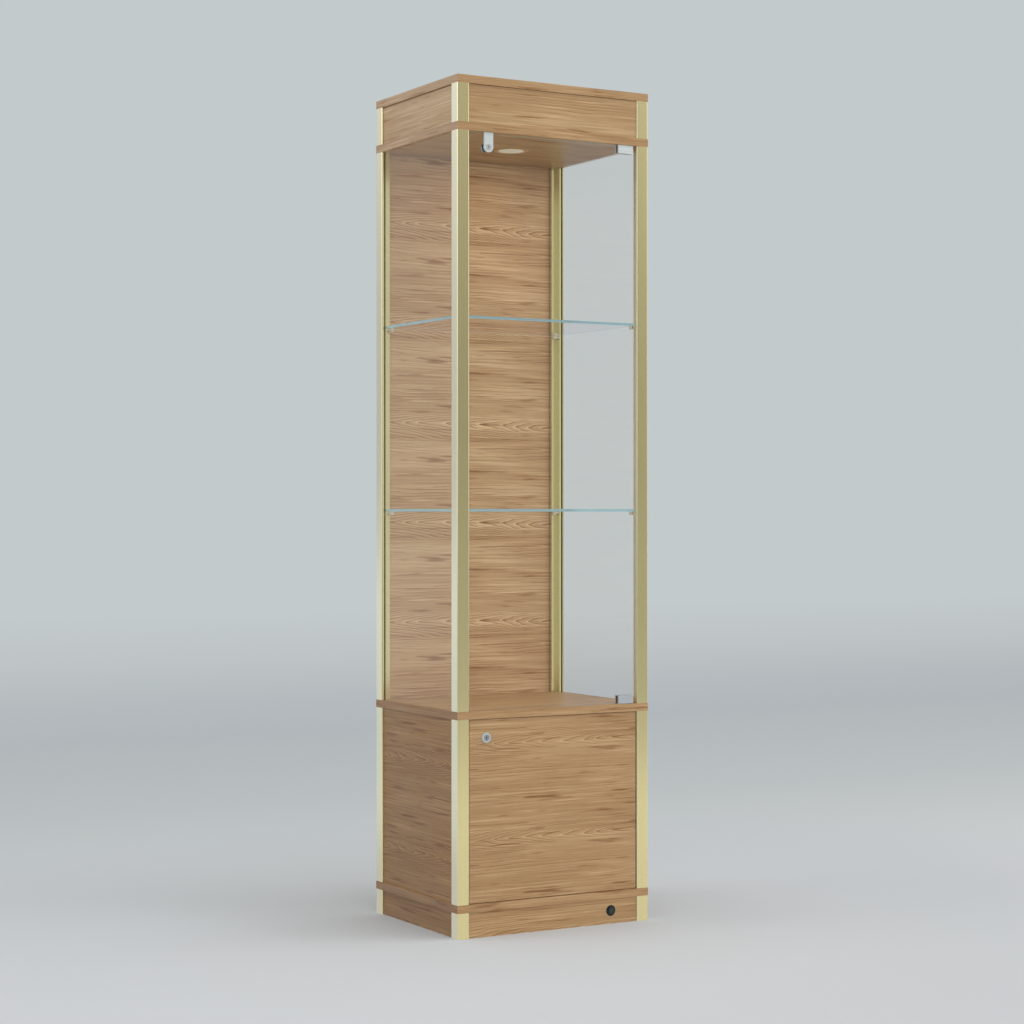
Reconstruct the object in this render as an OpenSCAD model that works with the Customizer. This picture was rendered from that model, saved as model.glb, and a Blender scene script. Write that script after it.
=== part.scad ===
// Tall display cabinet: plinth, lockable cupboard, glazed display and lit canopy,
// carried by four-part corner posts and four boards.
// Origin: middle of the footprint at floor level. X to the right, Y to the back, Z up.
// All sizes are in millimetres.

/* [Cabinet] */
// Width over the corner posts
body_w = 500; // [440:5:700]
// Depth over the corner posts
body_d = 400; // [350:5:550]
// Thickness of the top, ceiling, deck and base boards
board_t = 18; // [18:0.5:25]

/* [Tier heights] */
// Height of the plinth below the base board
plinth_h = 57; // [45:1:120]
// Clear height of the cupboard
storage_h = 408; // [250:1:600]
// Clear height of the glazed display
display_h = 1282; // [1000:1:1500]
// Clear height of the canopy
canopy_h = 86; // [60:1:160]

/* [Corner posts] */
// Width of each face of a post
post_w = 30; // [28:0.5:40]
// Thickness of each leg of a post
post_leg = 16; // [15:0.5:20]
// Radius of the outside edges of a post
post_r = 3; // [1:0.5:4]
// Metal left outside the glazing slot
slot_lip = 6; // [4:0.5:6.5]
// Depth of the glazing slot
slot_depth = 10; // [8:0.5:12]

/* [Panels] */
// Thickness of the cupboard, plinth and canopy panels
panel_t = 12; // [10:0.5:16]
// Thickness of the display and cupboard back panels
back_t = 5; // [4:0.5:10]
// Distance of the front and rear panels behind the post faces
front_recess = 3; // [3:0.5:5]
// Distance of the side panels behind the post faces
side_recess = 4.5; // [2:0.5:6]
// Distance of the back panels behind the post faces
back_recess = 1; // [0.5:0.5:4]
// Gap between a fixed panel and its neighbours
panel_gap = 0.5; // [0.3:0.1:0.8]

/* [Glass] */
// Thickness of the side glass
side_glass_t = 5; // [4:0.5:6]
// Thickness of the rubber round the side glass
gasket_t = 0.3; // [0.2:0.1:0.5]
// Thickness of the glass door
door_glass_t = 6; // [5:0.5:8]
// Distance of the glass door behind the post faces
door_set = 7; // [7:0.5:9]
// Gap between the glass door and the posts
door_side_gap = 3; // [2.5:0.5:6]
// Gap between the glass door and the boards
door_end_gap = 2; // [1.5:0.5:4]

/* [Shelves] */
// Thickness of the glass shelves
shelf_t = 6; // [4:0.5:10]
// Underside of the lower shelf above the deck
lower_shelf_h = 441; // [300:1:460]
// Underside of the upper shelf above the deck
upper_shelf_h = 870; // [700:1:950]
// Gap between a shelf and the posts beside and behind it
shelf_gap = 1.5; // [1:0.5:4]
// Distance of the shelf's front edge behind the post faces
shelf_front = 28; // [28:1:60]
// Diameter of a shelf support
support_d = 11; // [9:0.5:12]
// Height of a shelf support
support_h = 7.5; // [6:0.5:12]
// Distance of a support's axis from the face of its post
support_reach = 13; // [8:0.5:16]
// Distance of a support's axis from the end of its post's leg
support_in = 3.5; // [3.5:0.5:6]
// Diameter of the pin that holds a support in its post
support_pin_d = 5; // [4:0.5:6]

/* [Glass door fittings] */
// Length of a door patch
patch_w = 40; // [34:1:60]
// Height of a door patch
patch_h = 19; // [18:0.5:30]
// Thickness of each cheek of a patch
cheek_t = 4.5; // [3:0.5:5.5]
// Gap between the door fittings and the boards
fitting_gap = 0.5; // [0.3:0.1:1]
// Distance of the patch from the edge of the glass
patch_inset = 6.5; // [1:0.5:8]
// Length of the notch in the glass at each patch
notch_w = 24; // [22:1:30]
// Height of the notch in the glass at each patch
notch_h = 13; // [11:0.5:15]
// Distance of the door's pivot from the edge of the glass
glass_pivot_inset = 13; // [12:0.5:15]
// Thickness of the pads between fittings and glass
pad_t = 0.5; // [0.3:0.1:1]

/* [Cupboard door] */
// Thickness of the cupboard door
cup_door_t = 16; // [14:0.5:19]
// Gap round the cupboard door
cup_gap = 2; // [1.5:0.5:4]
// Distance of the cupboard door's pivot from its edge
cup_pivot_inset = 10; // [8:0.5:14]
// Distance of the cupboard door's pivot behind its face
cup_pivot_depth = 5; // [4.5:0.5:6]
// Outer diameter of the pivot bushes
bush_d = 7; // [6.5:0.5:8]

/* [Pivot pins] */
// Diameter of the pivot pins
pin_d = 5; // [4:0.5:5.5]
// Length of a pin in its board
pin_in_board = 8; // [6:0.5:8]
// Length of a pin in its door
pin_in_door = 10; // [6:0.5:12]

/* [Glass door lock] */
// Width of the lock's front plate
glock_w = 23; // [20:0.5:30]
// Distance of the lock's axis from the edge of the glass
glock_x = 47; // [30:1:80]
// Distance of the lock's axis below the ceiling board
glock_z = 33; // [30:1:50]
// Diameter of the lock's turning plug
glock_plug_d = 14; // [10:0.5:15]
// Diameter of the hole through the glass
glock_hole_d = 18.5; // [18:0.5:20]
// Diameter of the washer between the glass and the lock's case
glock_washer_d = 20.5; // [20:0.5:22]
// Thickness of the washer between the glass and the lock's case
glock_washer_t = 2.5; // [1:0.5:4]
// Diameter of the lock's case behind the washer
glock_case_d = 22; // [21:0.5:26]
// Depth of the lock's case behind the washer
glock_case_t = 6; // [6:0.5:9]
// Diameter of the lock's bolt
bolt_d = 4; // [3:0.5:4.5]
// Distance of the bolt to the right of the lock's axis
bolt_x = 5; // [0:0.5:6]
// Throw of the lock's bolt
bolt_throw = 8; // [5:0.5:9]
// Width of the guide round the bolt
bolt_guide_w = 7; // [6:0.5:8]

/* [Cupboard lock] */
// Distance of the lock's axis from the door's edge
clock_x = 42; // [30:1:60]
// Distance of the lock's axis below the door's top
clock_z = 40; // [30:1:70]
// Diameter of the lock's flange
clock_d = 24; // [22:0.5:30]
// Height of the lock's flange
clock_flange_t = 2.5; // [1.5:0.5:3]
// Diameter of the lock's barrel
clock_barrel_d = 18; // [16:0.5:20]
// Diameter of the lock's turning plug
clock_plug_d = 14; // [10:0.5:15]
// Thickness of the lock's nut
clock_nut_t = 2; // [1.5:0.5:4]
// Reach of the cam from the lock's axis
cam_reach = 50; // [48:0.5:54]
// Width of the cam
cam_w = 12; // [9:0.5:16]
// Thickness of the cam
cam_t = 2; // [1.5:0.5:3]

/* [Light switch] */
// Distance of the switch from the right-hand post
switch_x = 69.5; // [40:0.5:160]
// Height of the switch's centre above the floor
switch_z = 30; // [18:0.5:32]
// Diameter of the switch's bezel
bezel_d = 25; // [22:0.5:30]
// Height of the switch's bezel
bezel_t = 1.2; // [0.8:0.1:1.2]
// Diameter of the switch's body
switch_d = 19; // [17:0.5:20]
// Diameter of the button
button_d = 13.5; // [10:0.5:15]
// Height of the button above its bezel
button_proud = 1.7; // [1:0.1:1.8]
// Travel of the button
button_travel = 1.5; // [0.5:0.1:1.7]

/* [Lamp] */
// Outer diameter of the downlight's rim
rim_d = 79; // [70:1:100]
// Height of the downlight's rim below the ceiling
rim_t = 2; // [1:0.5:4]
// Diameter of the downlight's lens
lens_d = 60; // [50:1:62]
// Thickness of the downlight's lens
lens_t = 3; // [2:0.5:5]
// Outer diameter of the downlight's can
can_d = 66; // [64:1:70]
// Height of the downlight's can above the rim
can_h = 42; // [34:1:46]
// Length of the lamp driver
driver_l = 120; // [80:1:150]
// Width of the lamp driver
driver_w = 42; // [30:1:60]
// Height of the lamp driver
driver_h = 26; // [20:1:40]

/* [Cable outlet] */
// Bore of the cable grommet
cable_d = 8; // [6:0.5:10]
// Diameter of the grommet's hole in the rear plinth panel
grommet_d = 20; // [16:0.5:24]
// Diameter of the grommet's flange
grommet_flange_d = 26; // [25:0.5:32]
// Distance of the grommet from the cabinet's centre
grommet_x = 120; // [60:1:140]

/* [Tie rods] */
// Diameter of the rods that clamp the tiers together
rod_d = 6; // [5:0.5:7]
// Diameter of the rods' heads
rod_head_d = 11; // [9:0.5:12]
// Height of the rods' heads
rod_head_h = 6; // [4:0.5:8]
// Depth of the rods in the top board
rod_in_top = 12; // [8:0.5:13]

/* [Hidden] */
// Clearance round rods, heads and barrels that pass through holes
loose = 0.3;
// Radial clearance of a part that turns or slides in its hole
running = 0.05;
// Radial clearance of a part that is pressed in
seated = 0.02;
// Overshoot of a cut past the surface that it opens
cut = 1;
// Clearance behind the end of a part in a blind hole
end_gap = 0.5;

half_w = body_w / 2;
half_d = body_d / 2;
z_base = plinth_h;
z_store = z_base + board_t;
z_deck = z_store + storage_h;
z_display = z_deck + board_t;
z_ceiling = z_display + display_h;
z_canopy = z_ceiling + board_t;
z_top = z_canopy + canopy_h;

slot_w = side_glass_t + 2 * gasket_t;
rod_inset = post_leg / 2;
rod_hole_d = rod_d + 2 * loose;
head_hole_d = rod_head_d + 2 * loose;
head_lift = 2;

front_y = -half_d + front_recess;
panel_half_x = half_w - post_w - panel_gap;
panel_half_y = half_d - post_w - panel_gap;

glass_half_x = half_w - post_w - door_side_gap;
glass_y = -half_d + door_set;
glass_mid_y = glass_y + door_glass_t / 2;
glass_z0 = z_display + door_end_gap;
glass_z1 = z_ceiling - door_end_gap;
glass_pivot_x = glass_half_x - glass_pivot_inset;
patch_x1 = glass_half_x - patch_inset;
patch_depth = door_glass_t + 2 * pad_t + 2 * cheek_t;
pad_inset = 1;
notch_gap = 0.5;

cup_half_x = half_w - post_w - cup_gap;
cup_z0 = z_store + cup_gap;
cup_z1 = z_deck - cup_gap;
cup_pivot_x = cup_half_x - cup_pivot_inset;
cup_pivot_y = front_y + cup_pivot_depth;
cup_back_y = front_y + cup_door_t;
bush_l = pin_in_door + end_gap;

glock_cx = -glass_half_x + glock_x;
glock_cz = z_ceiling - glock_z;
glock_front_y = glass_y - pad_t - cheek_t;
glock_rear_y = glass_y + door_glass_t + glock_washer_t;
glock_end_y = glock_rear_y + glock_case_t;
glock_top_z = z_ceiling - fitting_gap;
sleeve_d = glock_hole_d - 2 * loose;
bolt_cx = glock_cx + bolt_x;
bolt_y = glock_rear_y + glock_case_t / 2;
bolt_lift = 2.5;
bolt_foot_z = glock_cz + glock_plug_d / 2 + bolt_lift;
plug_proud = 0.4;
plug_tail = 2.5;

clock_cx = -cup_half_x + clock_x;
clock_cz = cup_z1 - clock_z;
clock_front_y = front_y - clock_flange_t;
clock_end_y = cup_back_y + clock_nut_t;
cam_y = clock_end_y + running;
clock_stub_d = 8;
clock_nut_d = 24;
cam_cap_d = 10;
cam_cap_t = 1.5;
key_w = 1.6;
key_h = 8;
key_deep = 4;
key_round_d = 3;

switch_cx = half_w - post_w - switch_x;
switch_cz = switch_z;
bezel_slope = 3;
switch_tail = 6;
button_stem_d = 6;
button_cap_t = 5;
stem_guide_t = 6;
pocket_t = button_cap_t - button_proud + button_travel + end_gap;

lamp_tube_d = lens_d + 2 * running;
lamp_cap_t = 4;
fin_count = 5;
fin_t = 3;
fin_groove = 2.4;
fin_depth = 4;
ear_l = 14;
ear_t = 3;
ear_hole_d = 4;
driver_x = -90;
driver_y = 90;

grommet_flange_t = 2;
grommet_cz = plinth_h / 2;

support_x = half_w - post_leg - support_reach;
support_y = half_d - post_w + support_in;
support_pin_in = post_leg - slot_lip - slot_w - cut;

round_fn = 64;

wood = [0.69, 0.56, 0.42];
champagne = [0.78, 0.73, 0.54];
clear_glass = [0.65, 0.80, 0.82, 0.35];
satin = [0.80, 0.82, 0.83];
brass = [0.72, 0.62, 0.38];
black = [0.12, 0.13, 0.13];
lamp_white = [0.95, 0.93, 0.88];

// A block given by its lowest and highest corners
module block(low, high) {
    translate(low) cube(high - low);
}

// A round bar along Y from y0 to y1, centred on x and z
module bar_y(x, z, y0, y1, d) {
    translate([x, y0, z]) rotate([-90, 0, 0]) cylinder(d = d, h = y1 - y0, $fn = round_fn);
}

// A round bar along Z from z0 to z1, centred on x and y
module bar_z(x, y, z0, z1, d) {
    translate([x, y, z0]) cylinder(d = d, h = z1 - z0, $fn = round_fn);
}

// A flat shape in X and Z, given a thickness along Y from y0 to y1
module slab_y(y0, y1) {
    translate([0, y1, 0]) rotate([90, 0, 0]) linear_extrude(height = y1 - y0) children();
}

// The four tie rod positions
module at_rods() {
    for (sx = [-1, 1], sy = [-1, 1])
        translate([sx * (half_w - rod_inset), sy * (half_d - rod_inset), 0]) children();
}

// Holes for the pivot pins in a board, from z0 to z1
module pin_holes(z0, z1, at_glass, at_cupboard) {
    if (at_glass) bar_z(glass_pivot_x, glass_mid_y, z0, z1, pin_d + 2 * seated);
    if (at_cupboard) bar_z(cup_pivot_x, cup_pivot_y, z0, z1, pin_d + 2 * seated);
}

// A full-size board with its underside at z and the four rod holes
module board(z) {
    difference() {
        block([-half_w, -half_d, z], [half_w, half_d, z + board_t]);
        at_rods() translate([0, 0, z - cut]) cylinder(d = rod_hole_d, h = board_t + 2 * cut, $fn = round_fn);
    }
}

module top_board() {
    color(wood) difference() {
        block([-half_w, -half_d, z_top], [half_w, half_d, z_top + board_t]);
        at_rods() translate([0, 0, z_top - cut])
            cylinder(d = rod_d + 2 * seated, h = rod_in_top + end_gap + cut, $fn = round_fn);
    }
}

module ceiling_board() {
    color(wood) difference() {
        board(z_ceiling);
        bar_z(0, 0, z_ceiling - cut, z_canopy + cut, can_d + 2 * loose);
        pin_holes(z_ceiling - cut, z_ceiling + pin_in_board + end_gap, true, false);
        bar_z(bolt_cx, bolt_y, z_ceiling - cut, z_ceiling + bolt_throw + cut, bolt_d + 2 * loose);
    }
}

module deck_board() {
    color(wood) difference() {
        board(z_deck);
        // The two doors' pins meet this board from above and from below, at different places
        pin_holes(z_display - pin_in_board - end_gap, z_display + cut, true, false);
        pin_holes(z_deck - cut, z_deck + pin_in_board + end_gap, false, true);
    }
}

module base_board() {
    color(wood) difference() {
        board(z_base);
        pin_holes(z_store - pin_in_board - end_gap, z_store + cut, false, true);
    }
}

// One leg of the post section with both of its outside edges rounded
module leg_along_x() {
    translate([post_r, 0]) square([post_w - 2 * post_r, post_leg]);
    translate([0, post_r]) square([post_w, post_leg - post_r]);
    for (x = [post_r, post_w - post_r]) translate([x, post_r]) circle(r = post_r, $fn = round_fn);
}

module leg_along_y() {
    translate([0, post_r]) square([post_leg, post_w - 2 * post_r]);
    translate([post_r, 0]) square([post_leg - post_r, post_w]);
    for (y = [post_r, post_w - post_r]) translate([post_r, y]) circle(r = post_r, $fn = round_fn);
}

// The L-shaped section of a post, with its outside corner at the origin
module post_section() {
    difference() {
        union() {
            leg_along_x();
            leg_along_y();
        }
        translate([slot_lip, post_w - slot_depth]) square([slot_w, slot_depth + cut]);
        translate([rod_inset, rod_inset]) circle(d = rod_hole_d, $fn = round_fn);
    }
}

// A post of one tier in the corner given by the signs sx and sy
module post(sx, sy, z0, z1) {
    translate([sx * half_w, sy * half_d, z0])
        mirror([sx > 0 ? 1 : 0, 0, 0])
            mirror([0, sy > 0 ? 1 : 0, 0])
                linear_extrude(height = z1 - z0) post_section();
}

module canopy_post(sx, sy) {
    color(champagne) post(sx, sy, z_canopy, z_top);
}

// A display post holds the side glass in its slot and the shelf supports in its side leg
module display_post(sx, sy) {
    color(champagne) difference() {
        post(sx, sy, z_display, z_ceiling);
        for (h = [lower_shelf_h, upper_shelf_h])
            translate([sx * (half_w - post_leg - cut), sy * support_y, z_display + h - support_h / 2])
                rotate([0, sx * 90, 0])
                    cylinder(d = support_pin_d + 2 * running, h = support_pin_in + cut, $fn = round_fn);
    }
}

module storage_post(sx, sy) {
    color(champagne) post(sx, sy, z_store, z_deck);
}

// A plinth post also has the counterbore for a tie rod's head
module plinth_post(sx, sy) {
    color(champagne) difference() {
        post(sx, sy, 0, z_base);
        translate([sx * (half_w - rod_inset), sy * (half_d - rod_inset), -cut])
            cylinder(d = head_hole_d, h = head_lift + rod_head_h + cut, $fn = round_fn);
    }
}

// A panel across the front or the back of a tier; side is -1 at the front and 1 at the back
module cross_panel(side, z0, z1) {
    outer = side * (half_d - front_recess);
    inner = side * (half_d - front_recess - panel_t);
    block([-panel_half_x, min(outer, inner), z0], [panel_half_x, max(outer, inner), z1 - panel_gap]);
}

// A panel along the left or right side of a tier; side is -1 at the left and 1 at the right
module side_panel(side, z0, z1) {
    outer = side * (half_w - side_recess);
    inner = side * (half_w - side_recess - panel_t);
    block([min(outer, inner), -panel_half_y, z0], [max(outer, inner), panel_half_y, z1 - panel_gap]);
}

// A thin panel that closes the back of a tier
module thin_back(z0, z1) {
    block([-panel_half_x, half_d - back_recess - back_t, z0],
          [panel_half_x, half_d - back_recess, z1 - panel_gap]);
}

module canopy_panel_front() { color(wood) cross_panel(-1, z_canopy, z_top); }
module canopy_panel_back() { color(wood) cross_panel(1, z_canopy, z_top); }
module canopy_panel_left() { color(wood) side_panel(-1, z_canopy, z_top); }
module canopy_panel_right() { color(wood) side_panel(1, z_canopy, z_top); }
module display_back_panel() { color(wood) thin_back(z_display, z_ceiling); }
module storage_side_left() { color(wood) side_panel(-1, z_store, z_deck); }
module storage_side_right() { color(wood) side_panel(1, z_store, z_deck); }
module storage_back_panel() { color(wood) thin_back(z_store, z_deck); }
module plinth_panel_left() { color(wood) side_panel(-1, 0, z_base); }
module plinth_panel_right() { color(wood) side_panel(1, 0, z_base); }

module plinth_panel_front() {
    color(wood) difference() {
        cross_panel(-1, 0, z_base);
        bar_y(switch_cx, switch_cz, front_y - cut, front_y + panel_t + cut, switch_d + 2 * running);
    }
}

module plinth_panel_back() {
    rear = half_d - front_recess;
    color(wood) difference() {
        cross_panel(1, 0, z_base);
        bar_y(-grommet_x, grommet_cz, rear - panel_t - cut, rear + cut, grommet_d + 2 * running);
    }
}

// Side glass, held in the slots of two posts by its gaskets
module side_glass(side) {
    x = half_w - slot_lip - gasket_t - side_glass_t;
    y = half_d - post_w + slot_depth - gasket_t;
    x0 = side > 0 ? x : -x - side_glass_t;
    color(clear_glass) block([x0, -y, z_display], [x0 + side_glass_t, y, z_ceiling - panel_gap]);
}

// Rubber channels round the upright edges of the side glass
module glazing_gaskets() {
    x = half_w - slot_lip - slot_w;
    y1 = half_d - post_w + slot_depth;
    y0 = y1 - slot_depth;
    color(black)
        for (sx = [-1, 1], sy = [-1, 1])
            mirror([sx < 0 ? 1 : 0, 0, 0]) mirror([0, sy < 0 ? 1 : 0, 0])
                difference() {
                    block([x, y0, z_display], [x + slot_w, y1, z_ceiling - panel_gap]);
                    block([x + gasket_t, y0 - cut, z_display - cut],
                          [x + gasket_t + side_glass_t, y1 - gasket_t, z_ceiling + cut]);
                }
}

// A glass shelf with its underside at the height h above the deck
module shelf(h) {
    x = half_w - post_leg - shelf_gap;
    y = half_d - post_leg - shelf_gap;
    z = z_display + h;
    color(clear_glass) block([-x, -half_d + shelf_front, z], [x, y, z + shelf_t]);
}

// Round supports under the shelves, each with a pin in the side leg of its post
module shelf_supports() {
    color(brass)
        for (h = [lower_shelf_h, upper_shelf_h], sx = [-1, 1], sy = [-1, 1])
            translate([sx * support_x, sy * support_y, z_display + h - support_h]) {
                cylinder(d = support_d, h = support_h, $fn = round_fn);
                translate([0, 0, support_h / 2]) rotate([0, sx * 90, 0])
                    cylinder(d = support_pin_d, h = support_reach + support_pin_in - end_gap, $fn = round_fn);
            }
}

// The glass door, notched at its two patches and drilled for its lock
module glass_door_pane() {
    back = glass_y + door_glass_t;
    color(clear_glass) difference() {
        block([-glass_half_x, glass_y, glass_z0], [glass_half_x, back, glass_z1]);
        for (z = [glass_z0 - cut, glass_z1 - notch_h])
            block([glass_half_x - notch_w, glass_y - cut, z], [glass_half_x + cut, back + cut, z + notch_h + cut]);
        bar_y(glock_cx, glock_cz, glass_y - cut, back + cut, glock_hole_d);
    }
}

// A door patch: two cheeks that clamp the glass and a block in its notch with the pivot's bore.
// It is drawn for the top; z is its end face and up is 1 at the top and -1 at the bottom.
module door_patch(z, up) {
    x0 = patch_x1 - patch_w;
    y0 = glass_mid_y - patch_depth / 2;
    web_x0 = glass_half_x - notch_w + notch_gap;
    web_h = door_end_gap - fitting_gap + notch_h - notch_gap;
    slot_y0 = y0 + cheek_t;
    slot_y1 = slot_y0 + patch_depth - 2 * cheek_t;
    color(satin) translate([0, 0, z]) mirror([0, 0, up < 0 ? 1 : 0])
        difference() {
            block([x0, y0, -patch_h], [patch_x1, y0 + patch_depth, 0]);
            block([x0 - cut, slot_y0, -patch_h - cut], [web_x0, slot_y1, cut]);
            block([x0 - cut, slot_y0, -patch_h - cut], [patch_x1 + cut, slot_y1, -web_h]);
            bar_z(glass_pivot_x, glass_mid_y, -pin_in_door - end_gap, cut, pin_d + 2 * running);
        }
}

module door_patch_top() { door_patch(z_ceiling - fitting_gap, 1); }
module door_patch_bottom() { door_patch(z_display + fitting_gap, -1); }

// A washer round the sleeve of the glass door's lock, from y0 to y1
module washer(y0, y1) {
    difference() {
        bar_y(glock_cx, glock_cz, y0, y1, glock_washer_d);
        bar_y(glock_cx, glock_cz, y0 - cut, y1 + cut, glock_hole_d);
    }
}

// Pads between the glass and its fittings, in front of and behind the glass
module glass_door_pads() {
    x0 = patch_x1 - patch_w + pad_inset;
    x1 = glass_half_x - notch_w - pad_inset;
    pad_h = patch_h - door_end_gap - pad_inset;
    color(black)
        for (y = [glass_y - pad_t, glass_y + door_glass_t]) {
            block([x0, y, glass_z1 - pad_h], [x1, y + pad_t, glass_z1]);
            block([x0, y, glass_z0], [x1, y + pad_t, glass_z0 + pad_h]);
        }
    color(black) washer(glass_y - pad_t, glass_y);
    color(black) washer(glass_y + door_glass_t, glock_rear_y);
}

// The pins that both doors turn on, pressed into the boards
module pivot_pins() {
    color(satin) {
        bar_z(glass_pivot_x, glass_mid_y, z_ceiling - fitting_gap - pin_in_door, z_ceiling + pin_in_board, pin_d);
        bar_z(glass_pivot_x, glass_mid_y, z_display - pin_in_board, z_display + fitting_gap + pin_in_door, pin_d);
        bar_z(cup_pivot_x, cup_pivot_y, z_deck - cup_gap - pin_in_door, z_deck + pin_in_board, pin_d);
        bar_z(cup_pivot_x, cup_pivot_y, z_store - pin_in_board, z_store + cup_gap + pin_in_door, pin_d);
    }
}

// Front plate of the glass door's lock: square at the top, round at the bottom
module glass_lock_plate() {
    color(satin) difference() {
        slab_y(glock_front_y, glock_front_y + cheek_t) union() {
            translate([glock_cx, glock_cz]) circle(d = glock_w, $fn = round_fn);
            translate([glock_cx - glock_w / 2, glock_cz]) square([glock_w, glock_top_z - glock_cz]);
        }
        bar_y(glock_cx, glock_cz, glock_front_y - cut, glock_front_y + cheek_t + cut, glock_plug_d + 2 * running);
    }
}

// Case of the glass door's lock: a sleeve through the glass, a round body and the bolt's guide
module glass_lock_case() {
    sleeve_y = glass_y - pad_t;
    color(satin) difference() {
        union() {
            bar_y(glock_cx, glock_cz, sleeve_y, glock_rear_y + cut, sleeve_d);
            bar_y(glock_cx, glock_cz, glock_rear_y, glock_end_y, glock_case_d);
            block([bolt_cx - bolt_guide_w / 2, glock_rear_y, glock_cz],
                  [bolt_cx + bolt_guide_w / 2, glock_end_y, glock_top_z - fitting_gap]);
        }
        bar_y(glock_cx, glock_cz, sleeve_y - cut, glock_end_y - plug_tail, glock_plug_d + 2 * running);
        bar_z(bolt_cx, bolt_y, bolt_foot_z - end_gap, glock_top_z + cut, bolt_d + 2 * running);
    }
}

// A keyhole in the face of a plug, with its slot upright
module keyhole(x, z, y) {
    bar_y(x, z, y - cut, y + key_deep, key_round_d);
    block([x - key_w / 2, y - cut, z - key_h / 2], [x + key_w / 2, y + key_deep, z + key_h / 2]);
}

module glass_lock_plug() {
    y0 = glock_front_y - plug_proud;
    color(satin) difference() {
        bar_y(glock_cx, glock_cz, y0, glock_end_y - plug_tail - end_gap, glock_plug_d);
        keyhole(glock_cx, glock_cz, y0);
    }
}

// The bolt, drawn back in its guide; it rises into the ceiling board
module glass_lock_bolt() {
    color(satin) bar_z(bolt_cx, bolt_y, bolt_foot_z, glock_top_z - fitting_gap, bolt_d);
}

// The cupboard door, with its two bush holes and the hole for its lock
module storage_door_panel() {
    color(wood) difference() {
        block([-cup_half_x, front_y, cup_z0], [cup_half_x, cup_back_y, cup_z1]);
        for (z = [cup_z0 - cut, cup_z1 - bush_l])
            bar_z(cup_pivot_x, cup_pivot_y, z, z + bush_l + cut, bush_d + 2 * seated);
        bar_y(clock_cx, clock_cz, front_y - cut, cup_back_y + cut, clock_barrel_d + 2 * loose);
    }
}

module storage_door_bushes() {
    color(brass)
        for (z = [cup_z0, cup_z1 - bush_l])
            difference() {
                bar_z(cup_pivot_x, cup_pivot_y, z, z + bush_l, bush_d);
                bar_z(cup_pivot_x, cup_pivot_y, z - cut, z + bush_l + cut, pin_d + 2 * running);
            }
}

// Barrel of the cupboard lock: a flange on the door's face and a tube through the door
module storage_lock_barrel() {
    rim = 1;
    color(satin) difference() {
        union() {
            translate([clock_cx, front_y, clock_cz]) rotate([90, 0, 0])
                cylinder(d1 = clock_d, d2 = clock_d - 2 * rim, h = clock_flange_t, $fn = round_fn);
            bar_y(clock_cx, clock_cz, front_y - cut, clock_end_y, clock_barrel_d);
        }
        bar_y(clock_cx, clock_cz, clock_front_y - cut, clock_end_y + cut, clock_plug_d + 2 * running);
    }
}

module storage_lock_nut() {
    color(satin) difference() {
        translate([clock_cx, cup_back_y, clock_cz]) rotate([-90, 0, 0])
            cylinder(d = clock_nut_d, h = clock_nut_t, $fn = 6);
        bar_y(clock_cx, clock_cz, cup_back_y - cut, clock_end_y + cut, clock_barrel_d + 2 * seated);
    }
}

// The turning plug of the cupboard lock, with the stub and the cap that hold the cam
module storage_lock_plug() {
    y0 = clock_front_y + plug_proud;
    cam_end = cam_y + cam_t;
    color(satin) difference() {
        union() {
            bar_y(clock_cx, clock_cz, y0, clock_end_y, clock_plug_d);
            bar_y(clock_cx, clock_cz, clock_end_y - cut, cam_end + cut, clock_stub_d);
            bar_y(clock_cx, clock_cz, cam_end + running, cam_end + running + cam_cap_t, cam_cap_d);
        }
        keyhole(clock_cx, clock_cz, y0);
    }
}

// The cam hangs down when the door is free and turns to the left behind the post to lock it
module storage_lock_cam() {
    color(satin) difference() {
        slab_y(cam_y, cam_y + cam_t) union() {
            translate([clock_cx, clock_cz]) circle(d = cam_w, $fn = round_fn);
            translate([clock_cx - cam_w / 2, clock_cz - cam_reach + cam_w / 2])
                square([cam_w, cam_reach - cam_w / 2]);
            translate([clock_cx, clock_cz - cam_reach + cam_w / 2]) circle(d = cam_w, $fn = round_fn);
        }
        bar_y(clock_cx, clock_cz, cam_y - cut, cam_y + cam_t + cut, clock_stub_d + 2 * seated);
    }
}

// The switch in the plinth: a sloping bezel and a body through the panel, hollow for the button
module switch_body() {
    end_y = front_y + panel_t + switch_tail;
    face_y = front_y - bezel_t;
    color(black) difference() {
        union() {
            translate([switch_cx, front_y, switch_cz]) rotate([90, 0, 0])
                cylinder(d1 = bezel_d, d2 = bezel_d - 2 * bezel_slope, h = bezel_t, $fn = round_fn);
            bar_y(switch_cx, switch_cz, front_y - cut, end_y, switch_d);
        }
        bar_y(switch_cx, switch_cz, face_y - cut, face_y + pocket_t, button_d + 2 * running);
        bar_y(switch_cx, switch_cz, face_y, face_y + pocket_t + stem_guide_t, button_stem_d + 2 * running);
    }
}

module switch_button() {
    y0 = front_y - bezel_t - button_proud;
    stem_y = y0 + pocket_t + stem_guide_t - button_travel;
    color(black) {
        bar_y(switch_cx, switch_cz, y0, y0 + button_cap_t, button_d);
        bar_y(switch_cx, switch_cz, y0 + button_cap_t - cut, stem_y, button_stem_d);
    }
}

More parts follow.
